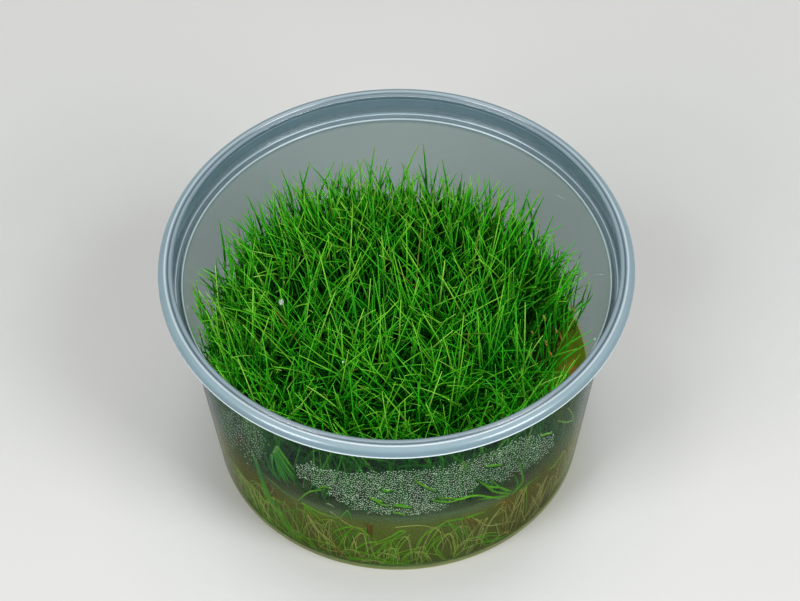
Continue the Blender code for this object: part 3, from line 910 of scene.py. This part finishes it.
# each stroke: tone, width in mm, and the pixels (x, y, x, y ...) that it runs through from its thick end
wallPlants = {
    "inset": 0.25, "clearance": 0.03, "lowest": 1.7,        # mm
    "rings": 13, "sides": 5, "point": 0.2, "blunt": 0.35,
    "leaves": (
        # dark fan at the left
        (0.40, 0.70, 276, 447, 282, 459, 294, 482), (0.36, 0.75, 275, 448, 279, 464, 289, 484),
        (0.38, 0.70, 274, 451, 277, 466, 284, 483), (0.40, 0.60, 271, 455, 273, 469, 279, 482),
        (0.44, 0.55, 276, 450, 284, 464, 295, 478), (0.42, 0.50, 275, 450, 281, 470, 288, 488),
        (0.62, 0.42, 277, 447, 287, 461, 295, 473), (0.34, 0.45, 274, 450, 272, 464, 274, 475),
        (0.45, 0.50, 275, 449, 283, 467, 292, 480), (0.38, 0.50, 273, 452, 280, 470, 287, 484),
        # long bunch to the base at the left
        (0.40, 0.38, 251, 449, 264, 487, 279, 515, 297, 542),
        (0.38, 0.44, 255, 458, 267, 489, 281, 512, 299, 541), (0.45, 0.50, 262, 478, 275, 508, 291, 536),
        (0.55, 0.42, 261, 484, 277, 512, 293, 538), (0.40, 0.50, 264, 488, 280, 514, 300, 545),
        (0.48, 0.42, 270, 500, 285, 522, 308, 549), (0.55, 0.40, 225, 447, 229, 466, 237, 489, 254, 513),
        (0.50, 0.40, 224, 454, 228, 472, 235, 488), (0.62, 0.35, 229, 470, 236, 489, 247, 506),
        (0.45, 0.40, 259, 500, 270, 520, 284, 536), (0.5, 0.4, 254, 495, 262, 512, 276, 530),
        (0.34, 0.50, 252, 453, 260, 476, 271, 500, 286, 530), (0.38, 0.46, 257, 470, 268, 498, 292, 537),
        (0.36, 0.46, 266, 490, 276, 508, 295, 540), (0.32, 0.42, 262, 486, 268, 506, 280, 530),
        (0.40, 0.44, 268, 494, 283, 521, 305, 547), (0.36, 0.40, 228, 462, 234, 484, 250, 510),
        # plantlet at the left
        (0.66, 0.52, 298, 501, 307, 493, 315, 491, 325, 490),
        (0.24, 0.36, 298, 501, 289, 496, 274, 484, 261, 472),
        (0.60, 0.42, 300, 502, 305, 506, 315, 515, 329, 529),
        (0.55, 0.40, 299, 503, 304, 508, 303, 522, 299, 537),
        (0.62, 0.40, 300, 502, 310, 508, 322, 514, 338, 519),
        (0.50, 0.38, 297, 502, 296, 515, 298, 530, 298, 538), (0.66, 0.36, 301, 504, 312, 516, 320, 527),
        # small leaves in a peak
        (0.46, 0.42, 347, 511, 343, 515, 340, 519), (0.46, 0.42, 347, 511, 350, 516, 352, 521),
        # crowns in the gel, with leaves that arch to the base
        (0.56, 0.44, 353, 527, 345, 528, 336, 531, 331, 536),
        (0.60, 0.40, 353, 527, 362, 531, 372, 538, 377, 543), (0.50, 0.42, 366, 527, 366, 540, 366, 554),
        (0.55, 0.40, 353, 528, 345, 536, 339, 547, 337, 553),
        (0.58, 0.46, 377, 543, 368, 543, 358, 548, 352, 554), (0.58, 0.46, 377, 543, 389, 538, 401, 532),
        (0.55, 0.42, 378, 543, 371, 549, 376, 558, 386, 567),
        (0.54, 0.42, 387, 541, 384, 552, 384, 561, 386, 567),
        (0.60, 0.40, 389, 541, 393, 552, 390, 562, 385, 568), (0.62, 0.38, 385, 543, 379, 553, 377, 561),
        (0.52, 0.40, 392, 541, 397, 549, 399, 559, 397, 566),
        (0.55, 0.50, 447, 522, 430, 532, 419, 542, 414, 561),
        (0.60, 0.44, 444, 524, 426, 534, 416, 550, 417, 566),
        (0.62, 0.42, 449, 523, 457, 535, 457, 547, 453, 558), (0.50, 0.40, 451, 524, 464, 533, 474, 537),
        (0.44, 0.46, 447, 522, 467, 518, 486, 512), (0.58, 0.40, 434, 539, 435, 551, 447, 563),
        (0.64, 0.38, 440, 528, 430, 542, 424, 553, 430, 564), (0.50, 0.38, 424, 545, 425, 554, 430, 563),
        (0.60, 0.38, 441, 541, 437, 549, 446, 560), (0.52, 0.42, 407, 532, 400, 532, 390, 537),
        (0.56, 0.38, 390, 547, 393, 558, 401, 566), (0.60, 0.36, 410, 535, 399, 549, 395, 560),
        (0.50, 0.38, 405, 533, 393, 540, 390, 553),
        # plantlet at the right
        (0.60, 0.58, 512, 494, 519, 487, 523, 479, 519, 459),
        (0.66, 0.62, 512, 492, 501, 488, 489, 487, 479, 481),
        (0.58, 0.56, 511, 494, 495, 492, 484, 485, 477, 480),
        (0.66, 0.62, 500, 499, 477, 496, 462, 499, 449, 503, 440, 499),
        (0.66, 0.45, 465, 500, 452, 499, 437, 498), (0.55, 0.55, 508, 496, 492, 498, 478, 500),
        (0.50, 0.42, 510, 494, 498, 486, 489, 478), (0.46, 0.50, 513, 494, 518, 484, 514, 474),
        (0.30, 0.30, 519, 491, 531, 482, 541, 475),
        # leaves along the wall at the right edge
        (0.44, 0.44, 576, 431, 575, 447, 565, 464, 564, 480), (0.50, 0.40, 563, 451, 556, 463, 548, 471),
        (0.48, 0.38, 572, 440, 571, 460, 560, 478), (0.46, 0.40, 573, 420, 576, 436, 573, 452),
        (0.52, 0.36, 568, 462, 560, 477, 550, 490)),
    "roots": (
        (0.85, 0.20, 307, 515, 315, 529, 338, 548), (0.97, 0.18, 308, 516, 318, 534, 318, 545),
        (0.80, 0.14, 311, 520, 326, 541, 342, 552), (0.70, 0.13, 306, 516, 311, 530, 323, 544),
        (0.85, 0.13, 318, 532, 330, 541, 333, 549), (0.80, 0.15, 273, 488, 270, 498, 274, 508),
        (0.72, 0.12, 285, 500, 283, 508, 288, 520), (0.90, 0.20, 353, 537, 356, 549, 354, 558),
        (0.66, 0.14, 346, 536, 344, 546, 349, 556), (0.60, 0.14, 318, 545, 330, 551, 345, 552),
        (0.20, 0.15, 508, 500, 501, 507, 499, 512), (0.26, 0.15, 508, 500, 506, 509, 507, 517),
        (0.30, 0.18, 508, 500, 510, 509, 515, 514), (0.16, 0.14, 506, 500, 503, 506, 504, 514),
        (0.22, 0.12, 510, 501, 514, 505, 512, 511), (0.20, 0.12, 507, 501, 499, 504, 495, 508),
        (0.18, 0.17, 465, 519, 470, 529, 473, 534), (0.22, 0.15, 468, 518, 474, 526, 476, 532),
        (0.24, 0.13, 462, 519, 463, 527, 468, 534), (0.20, 0.14, 471, 517, 478, 522, 482, 528),
        (0.80, 0.14, 482, 520, 465, 542, 457, 551), (0.85, 0.14, 476, 519, 489, 526, 510, 522, 519, 521),
        (0.80, 0.13, 532, 496, 535, 502, 539, 507), (0.75, 0.13, 534, 498, 527, 515, 521, 523),
        (0.72, 0.12, 521, 508, 525, 520, 531, 526), (0.85, 0.12, 511, 529, 514, 522, 517, 518),
        (0.78, 0.13, 496, 523, 499, 538, 489, 550), (0.82, 0.14, 484, 529, 475, 546, 465, 556),
        (0.76, 0.12, 487, 533, 478, 540, 465, 541), (0.70, 0.12, 505, 510, 492, 520, 480, 540),
        (0.82, 0.13, 470, 536, 463, 550, 452, 560), (0.74, 0.12, 522, 500, 508, 520, 497, 540),
        (0.90, 0.12, 459, 545, 455, 552, 450, 556), (0.66, 0.12, 540, 490, 534, 505, 524, 520),
        (0.70, 0.12, 395, 528, 420, 526, 440, 530), (0.66, 0.12, 330, 512, 350, 526, 368, 530),
        # white flecks among the drops
        (0.99, 0.26, 352, 500, 353, 497, 355, 496), (0.99, 0.26, 356, 495, 358, 497, 358, 499),
        (0.95, 0.14, 326, 504, 330, 505, 334, 508)),
    # brown crowns that the roots come from
    "crowns": (
        (0.02, 0.70, 266, 482, 269, 489, 272, 499), (0.10, 0.50, 271, 486, 274, 493, 275, 501),
        (0.04, 0.60, 371, 524, 371, 531, 372, 539), (0.12, 0.50, 366, 522, 368, 528, 368, 533),
        (0.06, 0.60, 504, 499, 508, 502, 511, 507), (0.12, 0.50, 463, 517, 470, 521, 476, 526),
        (0.08, 0.50, 298, 500, 301, 503, 304, 508)),
    "bits": (
        (0.66, 0.50, 415, 481, 423, 486, 436, 492), (0.60, 0.45, 465, 463, 466, 468, 466, 473),
        (0.60, 0.52, 485, 467, 494, 466, 503, 465), (0.70, 0.50, 541, 436, 547, 434, 552, 433),
        (0.60, 0.50, 393, 506, 402, 507, 412, 508), (0.66, 0.38, 393, 513, 400, 514, 405, 516),
        (0.50, 0.55, 382, 490, 387, 492, 392, 491), (0.70, 0.50, 369, 498, 376, 501, 383, 502),
        (0.66, 0.42, 375, 501, 380, 504, 388, 507), (0.60, 0.45, 394, 506, 400, 505, 406, 507),
        (0.78, 0.42, 568, 408, 572, 413, 573, 420), (0.74, 0.40, 573, 420, 566, 422, 558, 421),
        (0.62, 0.40, 430, 500, 440, 502, 450, 503), (0.70, 0.34, 318, 489, 324, 487, 330, 489)),
}


# a piece made of strokes; each thins from a share of its length on, or is blunt at both ends
def strokePiece(name, strokes, material, start=0.5, slim=1.0, blunt=False, far=False):
    rings, paths, radii = wallPlants["rings"], [], []
    shape = taper(rings, start, wallPlants["point"])
    if blunt:
        shape = np.sin(np.linspace(wallPlants["blunt"], math.pi - wallPlants["blunt"], rings)) ** 0.5
    for stroke in strokes:
        thick = stroke[1] * slim / 2
        path = np.array([wallPoint(px, py, far) for px, py in strokePixels(stroke, rings)])
        path[:, 2] = np.maximum(path[:, 2], wallPlants["lowest"] * mm)
        paths.append(keepInside(path, max(wallPlants["inset"], thick + wallPlants["clearance"]) * mm))
        radii.append(thick * mm * shape)
    tones = [stroke[0] for stroke in strokes]
    mesh = tubeMesh(name, np.array(paths), np.array(radii), tones, wallPlants["sides"])
    addPiece(name, mesh, material)


strokePiece("wall_plantlets", wallPlants["leaves"], pressedLeafMaterial, start=0.55, slim=0.8)
strokePiece("wall_roots", wallPlants["roots"], rootMaterial, start=0.4, slim=1.3)
strokePiece("root_crowns", wallPlants["crowns"], pressedLeafMaterial, blunt=True)
strokePiece("loose_leaf_bits", wallPlants["bits"], pressedLeafMaterial, blunt=True)


# plants that grow down through the gel against the wall, all the way round
gelPlants = {
    "count": 105, "leaves": (1, 4), "roots": (3, 6), "rings": 13,
    "sparse": (-62, -14),       # degrees round the wall where roots outnumber leaves
    "crown": (3.5, 19.0), "reach": (1.5, 9.0), "tail": (1.0, 12.0), "foot": 1.5,     # mm
    "radius": {"leaf": (0.08, 0.15), "root": (0.045, 0.08)}, "gap": (0.02, 0.12),    # mm
    "spread": {"leaf": 1.0, "root": 0.45}, "tone": {"leaf": (0.55, 0.2), "root": (0.78, 0.2)},
    "drop": (0.6, 1.05), "bend": (0.05, 0.3), "arch": (0.5, 0.9, 0.65), "turnShare": 0.4, "tailShare": 0.7,
    "stray": 0.4, "footSlack": 0.2, "tailLift": 0.1, "taper": (0.5, 0.3), "mostTone": 0.99, "seed": 33,
}


# a path against the wall through points (distance round the wall from its middle, height), in mm
def roundWall(middle, points, depth):
    flat = smoothPath(points, gelPlants["rings"])
    height = np.maximum(flat[:, 1], gelPlants["foot"] - gelPlants["footSlack"]) * mm
    radius = wallInside(height) - depth * mm
    angle = middle + flat[:, 0] * mm / radius
    return np.stack([radius * np.cos(angle), radius * np.sin(angle), height], axis=1)


# the leaves and roots of one plant: a list of (kind, path, radius in mm, tone)
def gelPlant(middle, crown, side, leafNumber, rootNumber, chance):
    look, grownStrands = gelPlants, []
    for kind in ["leaf"] * leafNumber + ["root"] * rootNumber:
        side = -side if chance.random() < look["turnShare"] else side
        reach = chance.uniform(*look["reach"]) * side * look["spread"][kind]
        drop = (crown - look["foot"]) * chance.uniform(*look["drop"])
        bend = chance.uniform(*look["bend"])
        half, late, lateDrop = look["arch"]
        points = [(0, crown), (half * reach, crown - bend * drop), (late * reach, crown - lateDrop * drop),
                  (reach, crown - drop)]
        if kind == "leaf" and chance.random() < look["tailShare"]:
            points.append((reach + side * chance.uniform(*look["tail"]), look["foot"] + look["tailLift"]))
        thick = chance.uniform(*look["radius"][kind])
        path = roundWall(middle, points, thick + chance.uniform(*look["gap"]))
        tone = toneWithin(chance.gauss(*look["tone"][kind]), most=look["mostTone"])
        grownStrands.append((kind, path, thick, tone))
    return grownStrands


chance = random.Random(gelPlants["seed"])
strands = []
for i in range(gelPlants["count"]):
    stray = chance.uniform(-gelPlants["stray"], gelPlants["stray"])
    middle = (i + stray) * 2 * math.pi / gelPlants["count"]
    crown = chance.uniform(*gelPlants["crown"])
    side = chance.choice((-1, 1))
    leafNumber, rootNumber = chance.randint(*gelPlants["leaves"]), chance.randint(*gelPlants["roots"])
    if gelPlants["sparse"][0] < math.degrees(math.remainder(middle, 2 * math.pi)) < gelPlants["sparse"][1]:
        leafNumber = chance.randint(0, 1)
    strands += gelPlant(middle, crown, side, leafNumber, rootNumber, chance)
shape = taper(gelPlants["rings"], *gelPlants["taper"])
for kind, material in (("leaf", pressedLeafMaterial), ("root", rootMaterial)):
    name = "gel_" + kind + "_strands"
    own = [strand for strand in strands if strand[0] == kind]
    mesh = tubeMesh(name, np.array([strand[1] for strand in own]),
                    np.array([strand[2] * mm * shape for strand in own]), [strand[3] for strand in own], 3)
    addPiece(name, mesh, material)


# dead bits low in the turf
deadBits = {
    # tone, radius in mm, and ends as (pixel x, pixel y, height in mm)
    "places": (
        (0.17, 0.26, (556, 329, 30), (558, 336, 29)), (0.14, 0.22, (559, 331, 29), (562, 341, 28)),
        (0.18, 0.30, (543, 315, 36), (546, 321, 35)), (0.16, 0.26, (545, 340, 35), (547, 346, 34)),
        (0.15, 0.24, (549, 351, 33), (552, 356, 33)), (0.12, 0.28, (556, 297, 34), (561, 293, 34)),
        (0.17, 0.20, (531, 331, 34), (534, 335, 33)), (0.14, 0.18, (572, 306, 30), (575, 313, 29)),
        (0.16, 0.16, (428, 262, 36), (432, 264, 36))),
    "rings": 5, "sides": 5, "ends": (0.5, 0.3),       # a blunt end and a ragged one
}


def deadBitMesh():
    steps = np.linspace(0, 1, deadBits["rings"])[:, None]
    blunt, ragged = deadBits["ends"]
    shape = np.sin(np.linspace(blunt, math.pi - ragged, deadBits["rings"]))
    paths, radii, tones = [], [], []
    for tone, radius, low, high in deadBits["places"]:
        paths.append(heightPoint(*low) * (1 - steps) + heightPoint(*high) * steps)
        radii.append(radius * mm * shape)
        tones.append(tone)
    return tubeMesh("dead_leaf_bits", np.array(paths), np.array(radii), tones, deadBits["sides"])


addPiece("dead_leaf_bits", deadBitMesh(), pressedLeafMaterial)
print("wall plantlets made")


# condensation on the wall and drops on the leaves

drops = {
    "edges": (296, 310, 322, 334, 350, 380, 410, 440, 455, 470, 480, 500, 520, 540, 553),
    "above": (466, 464, 470, 474, 474, 474, 473, 470, 466, 462, 458, 450, 440, 436, 433),
    "below": (472, 480, 487, 497, 505, 512, 513, 508, 500, 492, 480, 480, 470, 458, 445),
    "rows": (430, 515), "ragged": 1.5,
    # small patches at the left: middle x and y, and how far they spread
    "patches": ((235, 433, 8, 9), (254, 443, 7, 10), (228, 419, 6, 5), (243, 428, 6, 6)),
    "patchTurn": 6, "patchSpread": 0.55, "patchSpacing": 1.3,
    "spacing": 1.56, "cell": 4, "leafGap": 0.7, "leafWidth": 2.4, "leafSteps": 24,     # pixels
    "tries": 70000,
    "size": (0.12, 0.18), "big": 1.6, "bigShare": 0.04, "flatness": 0.8, "lift": 0.02,      # mm
    "swings": (90, 62, 32),                               # degrees of a dome's rings from its crest
    "wobble": 0.10, "wobbleTurn": 9e5,                    # unevenness, and how it changes with the size
    "sides": 6, "seed": 21,
}


# domes of water, each flat on the wall's side
def domeMesh(name, middles, normals, sizes, sides, flatness):
    middles, normals, sizes = np.array(middles), unit(np.array(normals)), np.array(sizes)
    across = unit(np.cross((0.0, 0.0, 1.0), normals))
    turn = np.arange(sides) * 2 * math.pi / sides
    ring = ringAround(across, np.cross(normals, across), turn)
    wobble = 1 + drops["wobble"] * np.sin(2 * turn[None, :] + sizes[:, None] * drops["wobbleTurn"])
    rows = []
    for swing in drops["swings"]:
        out, lift = math.sin(math.radians(swing)), math.cos(math.radians(swing)) * flatness
        rows.append(middles[:, None, :] + sizes[:, None, None] * (
            ring * out * wobble[:, :, None] + normals[:, None, :] * lift))
    crest = middles + normals * (sizes * flatness)[:, None]
    verts = np.concatenate(rows + [crest[:, None, :]], axis=1)
    each, after = verts.shape[1], [(k + 1) % sides for k in range(sides)]
    shape = [tuple(range(sides))[::-1]]
    for low, high in ((0, sides), (sides, 2 * sides)):
        shape += [(low + k, low + after[k], high + after[k], high + k) for k in range(sides)]
    shape += [(2 * sides + k, 2 * sides + after[k], 3 * sides) for k in range(sides)]
    faces = [tuple(i * each + c for c in face) for i in range(len(middles)) for face in shape]
    return smoothMesh(name, verts.reshape(-1, 3).tolist(), faces)


waterLook = {
    # colour and clearness
    "fog": ((1.0, 1.0, 0.70), 0.0), "clear": ((0.95, 1.0, 0.97), 0.92),
    "film": (2500.0, 1.0), "roughness": 0.03, "filmRoughness": 0.05, "bend": 1.33,
    "lampTint": (0.9, 0.9, 0.9),
}


def clearWater(name, colour, clearness):
    sheet = Sheet(name)
    film = sheet.noise(sheet.place(), *waterLook["film"])
    water = sheet.node("ShaderNodeBsdfPrincipled", {}, {
        "Base Color": (*colour, 1.0), "Roughness": waterLook["roughness"] + waterLook["filmRoughness"] * film,
        "IOR": waterLook["bend"], "Transmission Weight": clearness})
    return sheet.finish(sheet.letLampsThrough(water, waterLook["lampTint"]))


fogMaterial = clearWater("fog_drop_surface", *waterLook["fog"])
waterMaterial = clearWater("clear_water_surface", *waterLook["clear"])


# where the drops sit: (pixel x, pixel y, size in metres)
def dropPlaces(chance):
    edges = drops["edges"]
    # pixels along the pressed leaves, with how far from them no drop sits
    pressed = np.array([
        (px, py, stroke[1] * drops["leafWidth"] + drops["leafGap"])
        for stroke in wallPlants["leaves"] + wallPlants["bits"]
        for px, py in strokePixels(stroke, drops["leafSteps"])])
    placed, taken = [], {}
    for attempt in range(drops["tries"]):
        spacing = drops["spacing"]
        if attempt % drops["patchTurn"] == 0:
            patchX, patchY, wide, high = chance.choice(drops["patches"])
            px = chance.gauss(patchX, wide * drops["patchSpread"])
            py = chance.gauss(patchY, high * drops["patchSpread"])
            spacing *= drops["patchSpacing"]
        else:
            px, py = chance.uniform(edges[0], edges[-1]), chance.uniform(*drops["rows"])
            if np.interp(px, edges, drops["above"]) >= py + chance.gauss(0, drops["ragged"]):
                continue
            if np.interp(px, edges, drops["below"]) <= py + chance.gauss(0, drops["ragged"]):
                continue
        column, row = int(px // drops["cell"]), int(py // drops["cell"])
        cells = [(column + i, row + j) for i in (-1, 0, 1) for j in (-1, 0, 1)]
        close = [spot for cell in cells for spot in taken.get(cell, ())]
        if any(math.hypot(px - x, py - y) < spacing for x, y in close):
            continue
        if np.any(np.hypot(pressed[:, 0] - px, pressed[:, 1] - py) < pressed[:, 2]):
            continue
        taken.setdefault((column, row), []).append((px, py))
        size = chance.uniform(*drops["size"]) * mm
        placed.append((px, py, size * (drops["big"] if chance.random() < drops["bigShare"] else 1)))
    return placed


placed = dropPlaces(random.Random(drops["seed"]))
middles, normals = [], []
for px, py, size in placed:
    spot = wallPoint(px, py)
    inward = -np.array([spot[0], spot[1], 0.0]) / math.hypot(spot[0], spot[1])
    inward[2] = wallSlope
    middles.append(spot + inward * drops["lift"] * mm)
    normals.append(inward)
addPiece("condensation", domeMesh("condensation", middles, normals, [drop[2] for drop in placed],
                                  drops["sides"], drops["flatness"]), fogMaterial)


# faint smears of water on the far wall
smears = (
    (0.5, 0.20, 585, 279, 589, 278, 594, 280), (0.5, 0.16, 593, 275, 598, 274, 605, 275),
    (0.5, 0.16, 596, 303, 599, 301, 603, 302), (0.5, 0.18, 583, 314, 587, 312, 591, 313),
    (0.5, 0.18, 581, 321, 585, 318, 590, 318), (0.5, 0.14, 556, 194, 561, 196, 566, 199))
strokePiece("wall_smears", smears, waterMaterial, blunt=True, far=True)


# single drops on leaf tips and on the far wall
singleDrops = {
    # pixel, size and height in mm, or None on the wall
    "places": (
        (281, 302, 0.62, 43.5), (343, 362, 0.26, 43.0), (534, 209, 0.24, 44.0), (595, 339, 0.30, 38.5),
        (224, 218, 0.22, 46.0), (211, 275, 0.42, None), (208, 286, 0.36, None), (187, 306, 0.30, None),
        (538, 236, 0.20, None), (590, 226, 0.18, None)),
    "lift": 0.05, "onLeaf": (0.0, -0.5, 0.86),       # mm, and which way a drop on a leaf faces
    "sides": 12, "flatness": 1.1,
}
middles, normals = [], []
for px, py, size, height in singleDrops["places"]:
    spot = wallPoint(px, py, True) if height is None else heightPoint(px, py, height)
    inward = -np.array([spot[0], spot[1], 0.0]) / math.hypot(spot[0], spot[1])
    middles.append(spot + inward * singleDrops["lift"] * mm)
    normals.append(inward if height is None else np.array(singleDrops["onLeaf"]))
addPiece("single_drops", domeMesh(
    "single_drops", middles, normals, [size * mm for _, _, size, _ in singleDrops["places"]],
    singleDrops["sides"], singleDrops["flatness"]), waterMaterial)
print("condensation made,", len(placed), "drops")


# floor and light

studio = {
    "floor": (0.44, 0.44, 0.43), "floorRoughness": 0.8, "world": 0.10,
    "floorHalf": 3.0, "floorDrop": 0.0002, "aimHeight": 0.03,      # metres
    "lamps": (
        ("left", (-0.62, -0.55, 0.57), 0.9, 0.38, 8.0),
        ("right", (0.64, -0.52, 0.56), 0.9, 0.38, 8.7),
        ("top", (0.0, 0.15, 0.98), 1.0, 0.5, 6.0)),     # direction, distance, size, watts
}


def makeStudio():
    wide = studio["floorHalf"]
    mesh = smoothMesh("floor", [(-wide, -wide, 0), (wide, -wide, 0), (wide, wide, 0), (-wide, wide, 0)],
                      [(0, 1, 2, 3)])
    floor = bpy.data.objects.new("floor", mesh)
    bpy.context.scene.collection.objects.link(floor)
    sheet = Sheet("floor_paper")
    mesh.materials.append(sheet.finish(sheet.node("ShaderNodeBsdfPrincipled", {}, {
        "Base Color": (*studio["floor"], 1.0), "Roughness": studio["floorRoughness"]})))
    floor.location.z = -studio["floorDrop"]
    world = bpy.data.worlds.new("studio")
    world.use_nodes = True
    background = world.node_tree.nodes["Background"]
    background.inputs["Color"].default_value = (1.0, 1.0, 1.0, 1.0)
    background.inputs["Strength"].default_value = studio["world"]
    bpy.context.scene.world = world
    for name, direction, distance, size, watts in studio["lamps"]:
        data = bpy.data.lights.new(name, "AREA")
        data.size = size
        data.energy = watts
        lamp = bpy.data.objects.new("lamp_" + name, data)
        bpy.context.scene.collection.objects.link(lamp)
        way = Vector(direction).normalized()
        lamp.location = way * distance + Vector((0, 0, studio["aimHeight"]))
        lamp.rotation_mode = "QUATERNION"
        lamp.rotation_quaternion = way.to_track_quat("Z", "Y")
    bpy.context.scene.view_settings.view_transform = "Standard"


makeStudio()
print("studio made")

bpy.context.view_layer.update()
